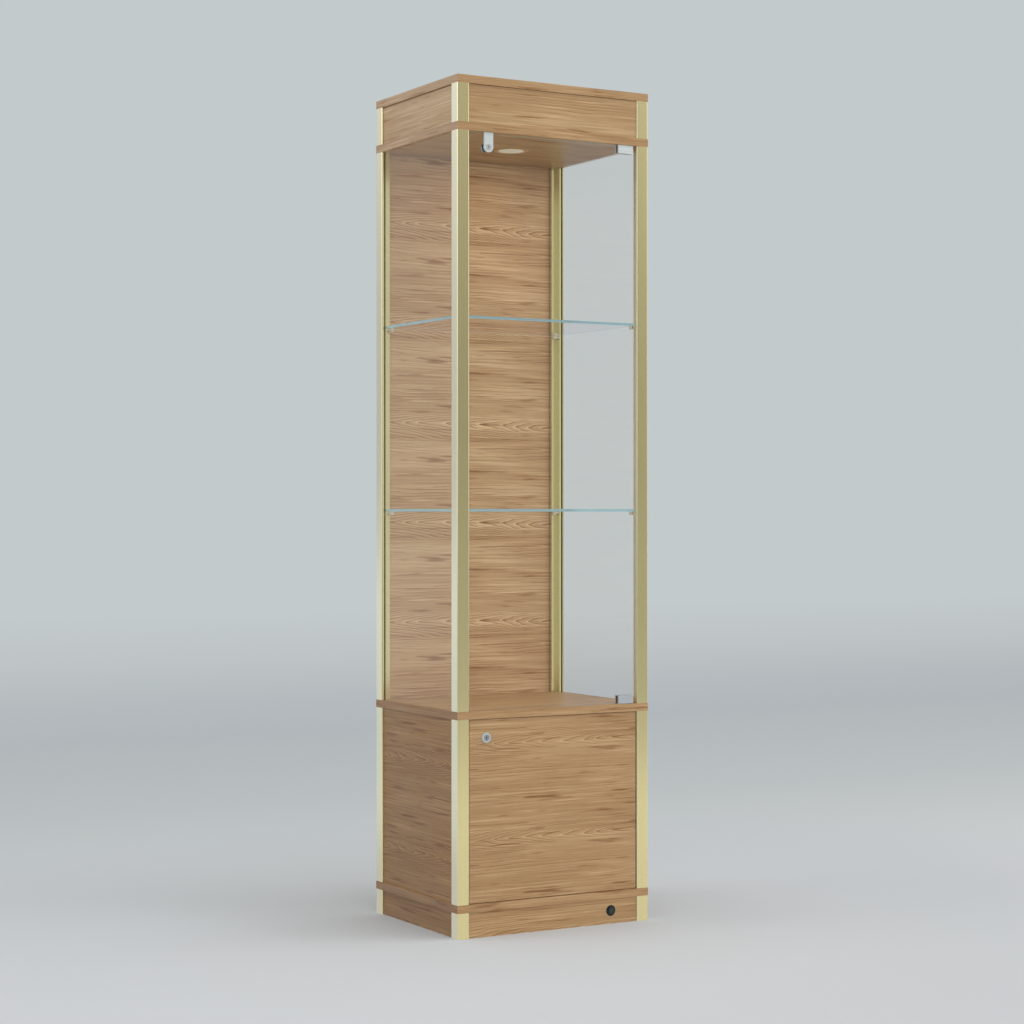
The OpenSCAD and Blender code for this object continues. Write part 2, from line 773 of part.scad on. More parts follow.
// The downlight: a rim under the ceiling board and a finned can in its hole
module downlight_can() {
    top_z = z_ceiling + can_h;
    color(brass) difference() {
        union() {
            bar_z(0, 0, z_ceiling - rim_t, z_ceiling, rim_d);
            bar_z(0, 0, z_ceiling - cut, top_z, can_d);
        }
        bar_z(0, 0, z_ceiling - rim_t - cut, top_z - lamp_cap_t, lamp_tube_d - 2 * lens_t);
        bar_z(0, 0, z_ceiling - rim_t - cut, z_ceiling - rim_t + lens_t, lamp_tube_d);
        for (i = [1 : fin_count - 1])
            translate([0, 0, top_z - i * (fin_t + fin_groove)]) difference() {
                cylinder(d = can_d + cut, h = fin_groove, $fn = round_fn);
                translate([0, 0, -cut]) cylinder(d = can_d - fin_depth, h = fin_groove + 2 * cut, $fn = round_fn);
            }
    }
}

module downlight_lens() {
    color(lamp_white) bar_z(0, 0, z_ceiling - rim_t, z_ceiling - rim_t + lens_t, lens_d);
}

// The lamp driver stands on the ceiling board, inside the canopy, with an ear at each end
module lamp_driver() {
    x0 = driver_x - driver_l / 2;
    y0 = driver_y - driver_w / 2;
    color(lamp_white) difference() {
        union() {
            block([x0, y0, z_canopy], [x0 + driver_l, y0 + driver_w, z_canopy + driver_h]);
            block([x0 - ear_l, y0, z_canopy], [x0 + driver_l + ear_l, y0 + driver_w, z_canopy + ear_t]);
        }
        for (x = [x0 - ear_l / 2, x0 + driver_l + ear_l / 2])
            bar_z(x, driver_y, z_canopy - cut, z_canopy + ear_t + cut, ear_hole_d);
    }
}

// The grommet in the rear plinth panel, where a mains lead would leave
module cable_grommet() {
    rear = half_d - front_recess;
    color(black) difference() {
        union() {
            bar_y(-grommet_x, grommet_cz, rear - panel_t, rear + grommet_flange_t, grommet_d);
            bar_y(-grommet_x, grommet_cz, rear, rear + grommet_flange_t, grommet_flange_d);
        }
        bar_y(-grommet_x, grommet_cz, rear - panel_t - cut, rear + grommet_flange_t + cut, cable_d);
    }
}

// Rods from the foot of each plinth post to the top board, each with its head below
module tie_rods() {
    color(satin) at_rods() {
        translate([0, 0, head_lift]) cylinder(d = rod_head_d, h = rod_head_h, $fn = round_fn);
        translate([0, 0, head_lift]) cylinder(d = rod_d, h = z_top + rod_in_top - head_lift, $fn = round_fn);
    }
}

top_board();
ceiling_board();
deck_board();
base_board();
canopy_post(-1, -1);  // canopy_post_front_left
canopy_post(1, -1);  // canopy_post_front_right
canopy_post(-1, 1);  // canopy_post_back_left
canopy_post(1, 1);  // canopy_post_back_right
display_post(-1, -1);  // display_post_front_left
display_post(1, -1);  // display_post_front_right
display_post(-1, 1);  // display_post_back_left
display_post(1, 1);  // display_post_back_right
storage_post(-1, -1);  // storage_post_front_left
storage_post(1, -1);  // storage_post_front_right
storage_post(-1, 1);  // storage_post_back_left
storage_post(1, 1);  // storage_post_back_right
plinth_post(-1, -1);  // plinth_post_front_left
plinth_post(1, -1);  // plinth_post_front_right
plinth_post(-1, 1);  // plinth_post_back_left
plinth_post(1, 1);  // plinth_post_back_right
canopy_panel_front();
canopy_panel_back();
canopy_panel_left();
canopy_panel_right();
display_back_panel();
side_glass(-1);  // side_glass_left
side_glass(1);  // side_glass_right
glazing_gaskets();
shelf(upper_shelf_h);  // shelf_upper
shelf(lower_shelf_h);  // shelf_lower
shelf_supports();
glass_door_pane();
door_patch_top();
door_patch_bottom();
glass_door_pads();
pivot_pins();
glass_lock_plate();
glass_lock_case();
glass_lock_plug();
glass_lock_bolt();
storage_side_left();
storage_side_right();
storage_back_panel();
storage_door_panel();
storage_door_bushes();
storage_lock_barrel();
storage_lock_nut();
storage_lock_plug();
storage_lock_cam();
plinth_panel_front();
plinth_panel_back();
plinth_panel_left();
plinth_panel_right();
switch_body();
switch_button();
downlight_can();
downlight_lens();
lamp_driver();
cable_grommet();
tie_rods();
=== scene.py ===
import bpy
import bmesh
from math import radians, pi
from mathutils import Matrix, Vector


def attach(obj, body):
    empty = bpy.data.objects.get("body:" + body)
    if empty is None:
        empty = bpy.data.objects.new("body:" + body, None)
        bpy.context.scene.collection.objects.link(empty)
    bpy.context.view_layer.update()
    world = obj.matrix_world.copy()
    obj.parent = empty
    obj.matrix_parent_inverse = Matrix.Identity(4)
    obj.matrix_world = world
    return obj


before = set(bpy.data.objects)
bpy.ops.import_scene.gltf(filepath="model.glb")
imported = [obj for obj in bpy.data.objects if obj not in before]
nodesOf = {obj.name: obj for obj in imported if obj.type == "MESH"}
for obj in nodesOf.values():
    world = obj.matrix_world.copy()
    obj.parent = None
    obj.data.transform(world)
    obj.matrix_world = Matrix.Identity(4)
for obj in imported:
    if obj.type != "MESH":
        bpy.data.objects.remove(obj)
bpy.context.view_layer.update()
scene = bpy.context.scene
scene.view_settings.view_transform = "Standard"
print("frame loaded:", len(nodesOf), "nodes")


# small helpers

floatIn, vectorIn = "NodeSocketFloat", "NodeSocketVector"
# a face belongs to a board's end or top when its normal points at least this far along that axis
squareOn = 0.6


def linear(r, g, b):
    # a colour as a painter reads it off a screen, 0 to 255, turned into scene-linear
    def one(c):
        c = c / 255
        return c / 12.92 if c <= 0.04045 else ((c + 0.055) / 1.055) ** 2.4
    return (one(r), one(g), one(b), 1.0)


def grey(level):
    return (level, level, level, 1.0)


def tinted(color, factors):
    return tuple(c * f for c, f in zip(color, factors)) + (1.0,)


class Board:
    # places nodes in one tree and links them in few words
    def __init__(self, tree):
        self.tree = tree

    def node(self, kind, settings=None, **inputs):
        n = self.tree.nodes.new(kind)
        for key, value in (settings or {}).items():
            setattr(n, key, value)
        for key, value in inputs.items():
            self.feed(n.inputs[key.replace("_", " ")], value)
        return n

    def feed(self, socket, value):
        if isinstance(value, bpy.types.NodeSocket):
            self.tree.links.new(value, socket)
        elif value is not None:
            socket.default_value = value

    def math(self, operation, a, b=None, c=None, clamp=False):
        n = self.node("ShaderNodeMath", {"operation": operation, "use_clamp": clamp})
        for socket, value in zip(n.inputs, (a, b, c)):
            self.feed(socket, value)
        return n.outputs[0]

    def choose(self, switch, off, on):
        # one of two values, or a blend of them, by a switch from 0 to 1
        return self.math("ADD", self.math("MULTIPLY", switch, on),
                         self.math("MULTIPLY", self.math("SUBTRACT", 1.0, switch), off))

    def vector(self, x, y, z):
        return self.node("ShaderNodeCombineXYZ", X=x, Y=y, Z=z).outputs[0]

    def dot(self, a, b):
        n = self.node("ShaderNodeVectorMath", {"operation": "DOT_PRODUCT"})
        self.feed(n.inputs[0], a)
        self.feed(n.inputs[1], b)
        return n.outputs["Value"]

    def remap(self, value, low, high, toLow=0.0, toHigh=1.0, smooth=True):
        way = "SMOOTHSTEP" if smooth else "LINEAR"
        n = self.node("ShaderNodeMapRange", {"interpolation_type": way})
        for socket, v in zip(n.inputs, (value, low, high, toLow, toHigh)):
            self.feed(socket, v)
        return n.outputs[0]

    def noise(self, vector, scale=1.0, detail=2.0, rough=0.5, w=None):
        n = self.node("ShaderNodeTexNoise", {"noise_dimensions": "3D" if w is None else "4D"})
        self.feed(n.inputs["Vector"], vector)
        self.feed(n.inputs["Scale"], scale)
        self.feed(n.inputs["Detail"], detail)
        self.feed(n.inputs["Roughness"], rough)
        if w is not None:
            self.feed(n.inputs["W"], w)
        return n.outputs[0]

    def mixColor(self, factor, a, b, blend="MIX"):
        n = self.node("ShaderNodeMix", {"data_type": "RGBA", "blend_type": blend})
        self.feed(n.inputs[0], factor)
        self.feed(n.inputs[6], a)
        self.feed(n.inputs[7], b)
        return n.outputs[2]

    def mixShader(self, factor, a, b):
        n = self.node("ShaderNodeMixShader")
        for socket, value in zip(n.inputs, (factor, a, b)):
            self.feed(socket, value)
        return n.outputs[0]

    def ramp(self, factor, stops):
        n = self.node("ShaderNodeValToRGB")
        self.feed(n.inputs[0], factor)
        elements = n.color_ramp.elements
        while len(elements) < len(stops):
            elements.new(0.5)
        for element, (place, color) in zip(elements, stops):
            element.position = place
            element.color = color
        return n.outputs[0]


def startGroup(name, inputs, outputs):
    tree = bpy.data.node_groups.new(name, "ShaderNodeTree")
    for label, kind, value in inputs:
        s = tree.interface.new_socket(name=label, in_out="INPUT", socket_type=kind)
        if value is not None:
            s.default_value = value
    for label, kind in outputs:
        tree.interface.new_socket(name=label, in_out="OUTPUT", socket_type=kind)
    given = tree.nodes.new("NodeGroupInput").outputs
    out = tree.nodes.new("NodeGroupOutput").inputs
    return tree, Board(tree), given, out


def useGroup(board, group, **values):
    n = board.tree.nodes.new("ShaderNodeGroup")
    n.node_tree = group
    for key, value in values.items():
        board.feed(n.inputs[key.replace("_", " ")], value)
    return n.outputs


# effects that several finishes share

# where the figure starts on the fronts, on the ends, and across the tops, in metres
figureStart = {"front": 0.27, "end": 0.22, "top": 0.11}


def buildPanelAxes():
    # lays the grain flat on each side of a board: along x, but along y on the two ends
    tree, b, given, out = startGroup(
        "panelAxes",
        [("Place", vectorIn, None), ("Facing", vectorIn, None)],
        [("Along", floatIn), ("Across", floatIn)])
    place = b.node("ShaderNodeSeparateXYZ", Vector=given["Place"]).outputs
    facing = b.node("ShaderNodeSeparateXYZ", Vector=given["Facing"]).outputs
    onEnd = b.math("GREATER_THAN", b.math("ABSOLUTE", facing[0]), squareOn)
    onTop = b.math("GREATER_THAN", b.math("ABSOLUTE", facing[2]), squareOn)
    alongFront = b.math("ADD", place[0], figureStart["front"])
    alongEnd = b.math("ADD", place[1], figureStart["end"])
    b.feed(out["Along"], b.choose(onEnd, alongFront, alongEnd))
    acrossTop = b.math("ADD", place[1], figureStart["top"])
    b.feed(out["Across"], b.choose(onTop, place[2], acrossTop))
    return tree


# noises that come back across the grain: scale along it, scale across it, and an offset of their own
oakNoise = {"waver": (3.2, 0.55, 3.0), "drift": (9.0, 1.2, 9.0), "wobble": (30.0, 9.0, 27.0),
            "strength": (4.0, 1.3, 7.0), "flecks": (9.0, 3.9, 11.0), "glints": (6.0, 7.5, 15.0),
            "broad": (2.2, 0.9, 17.0), "patches": (3.0, 2.6, 51.0), "streaks": (5.0, 18.0, 21.0),
            "thin": (4.0, 9.5, 31.0), "busy": (1.6, 0.8, 41.0)}
# fine noises that never come back: scale along the grain and across it
oakFine = {"fibre": (9.0, 620.0), "pores": (60.0, 1800.0)}
# how far noises bend the rings, where a flame is full, and how round its middle is
oakRings = {"waver": 0.15, "drift": 0.10, "wobble": 0.28, "flameFull": 0.03, "round": 0.00003}
# where each part starts and where it is full, and for two of them the least and greatest value
oakSteps = {"lateRise": (0.62, 0.92), "lateFall": (1.0, 0.95), "paleRise": (0.0, 0.05),
            "paleFall": (0.30, 0.06), "strength": (0.44, 0.66, 0.08, 0.75), "heart": (0.20, 0.10),
            "flecks": (0.57, 0.74), "glints": (0.53, 0.72), "busy": (0.42, 0.58, 0.5, 1.3),
            "thinDark": (0.43, 0.36), "thinPale": (0.57, 0.65), "pores": (0.58, 0.70)}
# what each part adds to the tone, which runs from 0 for dark to 1 for pale
oakTone = {"plain": 0.55, "late": -0.28, "pale": 0.21, "flecks": -0.40, "glints": 0.24, "broad": 0.46,
           "patches": 0.20, "streaks": 0.48, "thinDark": -0.16, "thinPale": 0.17, "fibre": 0.40,
           "pores": -0.08}
# what the fibres, the pores and the late rings add to the surface's height
oakRelief = {"fibre": 0.35, "pores": -0.8, "late": -0.25}


def buildOakFigure():
    # flat-sawn oak print: nested flames, quiet straight grain between them, dark flecks, fibres and pores
    tree, b, given, out = startGroup(
        "oakFigure",
        [("Along", floatIn, 0.0), ("Across", floatIn, 0.0), ("Repeat", floatIn, 0.212),
         ("Seed", floatIn, 0.0), ("Rings", floatIn, 16.0), ("Pitch", floatIn, 0.05),
         ("Flame Width", floatIn, 0.27), ("Bold", floatIn, 1.0), ("Spots", floatIn, 1.0)],
        [("Tone", floatIn), ("Height", floatIn), ("Flecks", floatIn)])
    seed = given["Seed"]
    turns = b.math("DIVIDE", given["Across"], given["Repeat"])
    angle = b.math("MULTIPLY", turns, 2 * pi)
    c, s = b.math("COSINE", angle), b.math("SINE", angle)

    def wrapped(name, detail=1.0, rough=0.5):
        # a noise that comes back after each repeat across the grain
        along, radius, shift = oakNoise[name]
        at = b.vector(b.math("MULTIPLY", given["Along"], along), b.math("MULTIPLY", c, radius),
                      b.math("MULTIPLY_ADD", s, radius, shift))
        return b.noise(at, detail=detail, rough=rough, w=seed)

    def fine(name, detail=1.0, rough=0.5):
        along, across = oakFine[name]
        at = b.vector(b.math("MULTIPLY", given["Along"], along),
                      b.math("MULTIPLY", given["Across"], across), seed)
        return b.noise(at, detail=detail, rough=rough)

    def spread(value, amount):
        return b.math("MULTIPLY", b.math("SUBTRACT", value, 0.5), amount)

    # rings by the distance from the middle of a flame; inside a flame they also move on along the grain
    waver = spread(wrapped("waver", detail=2.0), oakRings["waver"])
    drift = spread(wrapped("drift"), oakRings["drift"])
    place = b.math("SUBTRACT", b.math("FRACT", b.math("ADD", b.math("ADD", turns, waver), 0.5)), 0.5)
    body = b.math("SQRT", b.math("MULTIPLY_ADD", place, place, oakRings["round"]))
    flame = b.remap(body, given["Flame Width"], oakRings["flameFull"])
    reach = b.math("DIVIDE", b.math("ADD", given["Along"], drift), given["Pitch"])
    rings = b.math("SUBTRACT", b.math("MULTIPLY", body, given["Rings"]), b.math("MULTIPLY", flame, reach))
    rings = b.math("ADD", rings, spread(wrapped("wobble"), oakRings["wobble"]))
    step = b.math("FRACT", rings)
    late = b.math("MULTIPLY", b.remap(step, *oakSteps["lateRise"]), b.remap(step, *oakSteps["lateFall"]))
    pale = b.math("MULTIPLY", b.remap(step, *oakSteps["paleRise"]), b.remap(step, *oakSteps["paleFall"]))
    strength = b.remap(wrapped("strength"), *oakSteps["strength"])
    strength = b.math("MAXIMUM", strength, b.remap(body, *oakSteps["heart"]))
    strength = b.math("MULTIPLY", strength, given["Bold"])

    # spots, broad changes, straight grain, fibres and pores
    flecks = b.remap(wrapped("flecks", detail=2.0), *oakSteps["flecks"])
    flecks = b.math("MULTIPLY", flecks, given["Spots"])
    glints = b.remap(wrapped("glints", detail=2.0), *oakSteps["glints"])
    broad = wrapped("broad")
    patches = wrapped("patches")
    streaks = wrapped("streaks", detail=3.0, rough=0.65)
    thin = wrapped("thin", detail=3.0, rough=0.6)
    busy = b.remap(wrapped("busy"), *oakSteps["busy"])
    fibre = fine("fibre", detail=3.0, rough=0.6)
    pores = b.remap(fine("pores"), *oakSteps["pores"])

    tone = b.math("MULTIPLY_ADD", b.math("MULTIPLY", late, strength), oakTone["late"], oakTone["plain"])
    tone = b.math("MULTIPLY_ADD", b.math("MULTIPLY", pale, strength), oakTone["pale"], tone)
    tone = b.math("MULTIPLY_ADD", flecks, oakTone["flecks"], tone)
    tone = b.math("MULTIPLY_ADD", glints, oakTone["glints"], tone)
    tone = b.math("ADD", tone, spread(broad, oakTone["broad"]))
    tone = b.math("ADD", tone, spread(patches, oakTone["patches"]))
    tone = b.math("MULTIPLY_ADD", spread(streaks, oakTone["streaks"]), busy, tone)
    for line in ("thinDark", "thinPale"):
        shown = b.remap(thin, *oakSteps[line])
        tone = b.math("MULTIPLY_ADD", shown, b.math("MULTIPLY", busy, oakTone[line]), tone)
    tone = b.math("ADD", tone, spread(fibre, oakTone["fibre"]))
    tone = b.math("MULTIPLY_ADD", pores, oakTone["pores"], tone, clamp=True)
    b.feed(out["Tone"], tone)
    sunk = b.math("MULTIPLY", pores, oakRelief["pores"])
    height = b.math("MULTIPLY_ADD", fibre, oakRelief["fibre"], sunk)
    grooves = b.math("MULTIPLY", late, strength)
    b.feed(out["Height"], b.math("MULTIPLY_ADD", grooves, oakRelief["late"], height))
    b.feed(out["Flecks"], flecks)
    return tree


# the part of each noise that shows, and how much finer the specks are than the cloud
wear = {"cloud": (0.35, 0.7), "specks": (0.62, 0.75), "finer": 60.0}


def buildHandling():
    # faint cloudy wear from wiping and handling
    tree, b, given, out = startGroup(
        "handling",
        [("Place", vectorIn, None), ("Scale", floatIn, 9.0), ("Seed", floatIn, 0.0)],
        [("Cloud", floatIn), ("Specks", floatIn)])
    cloud = b.noise(given["Place"], given["Scale"], detail=4.0, rough=0.6, w=given["Seed"])
    b.feed(out["Cloud"], b.remap(cloud, *wear["cloud"]))
    speckScale = b.math("MULTIPLY", given["Scale"], wear["finer"])
    specks = b.noise(given["Place"], speckScale, detail=2.0, rough=0.5, w=given["Seed"])
    b.feed(out["Specks"], b.remap(specks, *wear["specks"]))
    return tree


def buildBrushing():
    # fine drawn lines along one axis; Stretch holds the scale along x, y and z
    tree, b, given, out = startGroup(
        "brushing",
        [("Place", vectorIn, None), ("Stretch", vectorIn, (900.0, 900.0, 6.0))],
        [("Lines", floatIn), ("Streaks", floatIn)])
    place = b.node("ShaderNodeVectorMath", {"operation": "MULTIPLY"})
    b.feed(place.inputs[0], given["Place"])
    b.feed(place.inputs[1], given["Stretch"])
    b.feed(out["Lines"], b.noise(place.outputs[0], scale=1.0, detail=3.0, rough=0.6))
    b.feed(out["Streaks"], b.noise(place.outputs[0], scale=0.16, detail=2.0, rough=0.5))
    return tree


def buildPaneEdge():
    # 1 on the polished edges of a pane, 0 on its two large faces; Across is the pane's thin direction
    tree, b, given, out = startGroup(
        "paneEdge",
        [("Facing", vectorIn, None), ("Across", vectorIn, (0.0, 0.0, 1.0))],
        [("Edge", floatIn)])
    facesAcross = b.math("ABSOLUTE", b.dot(given["Facing"], given["Across"]))
    largeFace = 0.5
    b.feed(out["Edge"], b.math("LESS_THAN", facesAcross, largeFace))
    return tree


panelAxes = buildPanelAxes()
oakFigure = buildOakFigure()
handling = buildHandling()
brushing = buildBrushing()
paneEdge = buildPaneEdge()
print("shared effects built")


# finishes

def startMaterial(name):
    material = bpy.data.materials.new(name)
    material.use_nodes = True
    material.node_tree.nodes.clear()
    b = Board(material.node_tree)
    shader = b.node("ShaderNodeBsdfPrincipled")
    output = b.node("ShaderNodeOutputMaterial", Surface=shader.outputs[0])
    coords = b.node("ShaderNodeTexCoord").outputs
    return material, b, shader, output, coords


def bumpInto(b, shader, height, strength, distance):
    bump = b.node("ShaderNodeBump", Height=height, Strength=strength, Distance=distance)
    b.feed(shader.inputs["Normal"], bump.outputs[0])


def roughInto(b, shader, rough, pattern, byPattern, cloud, byCloud):
    # a plain roughness that a pattern and the wear change a little
    worn = b.math("MULTIPLY_ADD", cloud, byCloud, rough)
    b.feed(shader.inputs["Roughness"], b.math("MULTIPLY_ADD", pattern, byPattern, worn))


oakColors = {"dark": (129, 86, 46), "low": (161, 119, 74), "middle": (178, 139, 94),
             "high": (193, 156, 110), "pale": (209, 175, 131), "fleck": (144, 93, 50)}
oakStops = [(0.08, "dark"), (0.34, "low"), (0.53, "middle"), (0.72, "high"), (0.95, "pale")]
# rings across one repeat, and the pitch from one flame tip to the next in metres
oakLook = {"rings": 30.0, "pitch": 0.047, "fleckColor": 0.35, "cloudScale": 5.0,
           "worn": (0.96, 0.96, 0.95), "clean": (1.03, 1.03, 1.04),
           "rough": 0.44, "roughByTone": -0.10, "roughByWear": 0.07,
           "specular": 0.4, "coat": 0.12, "coatRough": 0.35, "bump": 0.3, "relief": 0.0003}


def makeOak(name, repeat, seed, shift=0.0, bold=1.0, spots=1.0, toneAndPaintedLight=(1.0, 1.0, 1.0),
            ends=(1.0, 1.0, 1.0)):
    # the first tint colours the whole board: the veneer's tone, plus painted shade on the storage and
    # plinth sides and painted light on the canopy sides and back panels; the second tints its two ends
    # once more, with painted light on the upper boards and painted shade on the lower ones
    look = oakLook
    material, b, shader, output, coords = startMaterial(name)
    axes = useGroup(b, panelAxes, Place=coords["Object"], Facing=coords["Normal"])
    across = b.math("ADD", axes["Across"], shift)
    figure = useGroup(b, oakFigure, Along=axes["Along"], Across=across, Repeat=repeat, Seed=seed,
                      Rings=look["rings"], Pitch=look["pitch"], Bold=bold, Spots=spots)
    cloud = useGroup(b, handling, Place=coords["Object"], Scale=look["cloudScale"], Seed=seed)
    color = b.ramp(figure["Tone"], [(place, linear(*oakColors[key])) for place, key in oakStops])
    fleckAmount = b.math("MULTIPLY", figure["Flecks"], look["fleckColor"])
    color = b.mixColor(fleckAmount, color, linear(*oakColors["fleck"]))
    tint = b.ramp(cloud["Cloud"],
                  [(0.0, tinted(toneAndPaintedLight, look["worn"])), (1.0, tinted(toneAndPaintedLight, look["clean"]))])
    color = b.mixColor(1.0, color, tint, "MULTIPLY")
    # the two ends of a board take a tint of their own: painted light, paler and bluer, on the upper boards
    # and painted shade, darker, on the lower ones
    facing = b.node("ShaderNodeSeparateXYZ", Vector=coords["Normal"]).outputs
    onEnd = b.math("GREATER_THAN", b.math("ABSOLUTE", facing[0]), squareOn)
    b.feed(shader.inputs["Base Color"], b.mixColor(onEnd, color, (*ends, 1.0), "MULTIPLY"))
    roughInto(b, shader, look["rough"], figure["Tone"], look["roughByTone"], cloud["Cloud"],
              look["roughByWear"])
    shader.inputs["Specular IOR Level"].default_value = look["specular"]
    shader.inputs["Coat Weight"].default_value = look["coat"]
    shader.inputs["Coat Roughness"].default_value = look["coatRough"]
    bumpInto(b, shader, figure["Height"], look["bump"], look["relief"])
    return material


# how far a face points along x where it turns from the front colour to the paler side colour, a painted
# sheen standing in for the bright light the sides reflect
champagneLook = {"front": (244, 229, 170), "side": (233, 227, 200), "paintedSheenOnSide": (0.3, 0.95),
                 "stretch": (1400.0, 1400.0, 5.0), "metallic": 0.82,
                 "darkStreak": (0.98, 0.98, 0.975, 1.0), "paleStreak": (1.015, 1.015, 1.02, 1.0),
                 "rough": 0.15, "roughByLines": 0.04, "roughByWear": 0.03}


def makeChampagne(name):
    # anodised profile with drawn lines; faces that point along x get a paler colour, a painted sheen
    look = champagneLook
    material, b, shader, output, coords = startMaterial(name)
    lines = useGroup(b, brushing, Place=coords["Object"], Stretch=look["stretch"])
    cloud = useGroup(b, handling, Place=coords["Object"], Scale=7.0, Seed=2.0)
    facing = b.node("ShaderNodeSeparateXYZ", Vector=coords["Normal"]).outputs
    # painted sheen: faces that point along x take the paler side colour
    paintedSheenOnSide = b.remap(b.math("ABSOLUTE", facing[0]), *look["paintedSheenOnSide"])
    color = b.mixColor(paintedSheenOnSide, linear(*look["front"]), linear(*look["side"]))
    shade = b.ramp(lines["Streaks"], [(0.3, look["darkStreak"]), (0.7, look["paleStreak"])])
    b.feed(shader.inputs["Base Color"], b.mixColor(1.0, color, shade, "MULTIPLY"))
    shader.inputs["Metallic"].default_value = look["metallic"]
    roughInto(b, shader, look["rough"], lines["Lines"], look["roughByLines"], cloud["Cloud"],
              look["roughByWear"])
    bumpInto(b, shader, lines["Streaks"], strength=0.02, distance=0.0001)
    return material


# drawn lines that run along x, and lines that run up
drawnLevel, drawnUpright = (9.0, 1200.0, 1200.0), (1200.0, 1200.0, 9.0)
satinLook = {"darkStreak": 0.93, "paleStreak": 1.04, "roughByLines": 0.10, "roughByWear": 0.06}


def makeSatin(name, color, rough, stretch=drawnLevel, metallic=1.0):
    look = satinLook
    material, b, shader, output, coords = startMaterial(name)
    lines = useGroup(b, brushing, Place=coords["Object"], Stretch=stretch)
    cloud = useGroup(b, handling, Place=coords["Object"], Scale=60.0, Seed=5.0)
    shade = b.ramp(lines["Streaks"], [(0.3, grey(look["darkStreak"])), (0.7, grey(look["paleStreak"]))])
    b.feed(shader.inputs["Base Color"], b.mixColor(1.0, linear(*color), shade, "MULTIPLY"))
    shader.inputs["Metallic"].default_value = metallic
    roughInto(b, shader, rough, lines["Lines"], look["roughByLines"], cloud["Cloud"],
              look["roughByWear"])
    bumpInto(b, shader, lines["Lines"], strength=0.12, distance=0.00005)
    return material


plasticLook = {"worn": 0.92, "clean": 1.06, "specks": 0.15, "speckGain": 1.5, "speckLift": 0.02,
               "roughByWear": 0.10, "glow": 0.35}


def makePlastic(name, color, rough, grain=900.0, glow=None, specular=0.45):
    # moulded plastic or rubber with a fine spark-eroded grain
    look = plasticLook
    material, b, shader, output, coords = startMaterial(name)
    cloud = useGroup(b, handling, Place=coords["Object"], Scale=25.0, Seed=8.0)
    grainHeight = b.noise(coords["Object"], grain, detail=2.0, rough=0.6)
    base = linear(*color)
    shade = b.ramp(cloud["Cloud"], [(0.0, grey(look["worn"])), (1.0, grey(look["clean"]))])
    shaded = b.mixColor(1.0, base, shade, "MULTIPLY")
    speck = tuple(min(1.0, c * look["speckGain"] + look["speckLift"]) for c in base[:3]) + (1.0,)
    speckAmount = b.math("MULTIPLY", cloud["Specks"], look["specks"])
    b.feed(shader.inputs["Base Color"], b.mixColor(speckAmount, shaded, speck))
    b.feed(shader.inputs["Roughness"], b.math("MULTIPLY_ADD", cloud["Cloud"], look["roughByWear"], rough))
    shader.inputs["Specular IOR Level"].default_value = specular
    bumpInto(b, shader, grainHeight, strength=0.18, distance=0.00006)
    if glow:
        shader.inputs["Emission Color"].default_value = linear(*glow)
        shader.inputs["Emission Strength"].default_value = look["glow"]
    return material


glassLook = {"ior": 1.25, "wiped": (0.995, 0.995, 0.995), "passed": (0.975, 0.985, 0.985, 1.0)}


def makeGlass(name, across, edge, paintedEdgeGlow, face=(255, 255, 255), ground=0.0):
    # across is the thin direction; the edges have a colour, a faint painted glow standing in for light
    # caught in them, and a ground roughness
    look = glassLook
    material, b, shader, output, coords = startMaterial(name)
    onEdge = useGroup(b, paneEdge, Facing=coords["Normal"], Across=across)["Edge"]
    cloud = useGroup(b, handling, Place=coords["Object"], Scale=4.0, Seed=4.0)
    wiped = tinted(linear(*face)[:3], look["wiped"])
    faceColor = b.mixColor(cloud["Cloud"], linear(*face), wiped)
    b.feed(shader.inputs["Base Color"], b.mixColor(onEdge, faceColor, linear(*edge)))
    # painted glow on the polished edges
    b.feed(shader.inputs["Emission Color"], b.mixColor(onEdge, grey(0.0), linear(*paintedEdgeGlow)))
    shader.inputs["Emission Strength"].default_value = 1.0
    shader.inputs["Metallic"].default_value = 0.0
    shader.inputs["Transmission Weight"].default_value = 1.0
    b.feed(shader.inputs["Roughness"], b.math("MULTIPLY", onEdge, ground))
    shader.inputs["IOR"].default_value = look["ior"]
    # light passes the pane on its way to the shelves and the back panel
    clear = b.node("ShaderNodeBsdfTransparent", Color=look["passed"])
    rays = b.node("ShaderNodeLightPath").outputs
    light = b.math("MAXIMUM", rays["Is Shadow Ray"], rays["Is Diffuse Ray"])
    b.feed(output.inputs["Surface"], b.mixShader(light, shader.outputs[0], clear.outputs[0]))
    return material


# the length across the grain after which the print comes back, in metres
shortRepeat, longRepeat = 0.2124, 0.236

oakDoor = makeOak("oakDoor", shortRepeat, seed=3.1, toneAndPaintedLight=(0.98, 0.98, 0.99))
# painted light: the back panels are lighter and bluer than the door, standing in for the light that
# reaches them
oakBackPaintedLight = makeOak("oakBackPaintedLight", longRepeat, seed=9.4, shift=0.03, bold=1.3, toneAndPaintedLight=(1.25, 1.285, 1.42))
# painted shade: the storage sides are darker and less blue than the door
oakSidePaintedShade = makeOak("oakSidePaintedShade", shortRepeat, seed=5.7, shift=0.05, spots=0.8, toneAndPaintedLight=(0.75, 0.665, 0.53))
oakCanopy = makeOak("oakCanopy", shortRepeat, seed=14.2, shift=-0.034, toneAndPaintedLight=(1.07, 1.11, 1.15))
# painted light: the canopy sides are paler and much bluer, standing in for the cool light from the left
oakCanopySidePaintedLight = makeOak("oakCanopySidePaintedLight", shortRepeat, seed=17.4, shift=0.12, bold=0.5, spots=0.7,
                        toneAndPaintedLight=(1.07, 1.20, 1.52))
oakPlinth = makeOak("oakPlinth", shortRepeat, seed=21.6, toneAndPaintedLight=(0.97, 0.96, 0.95))
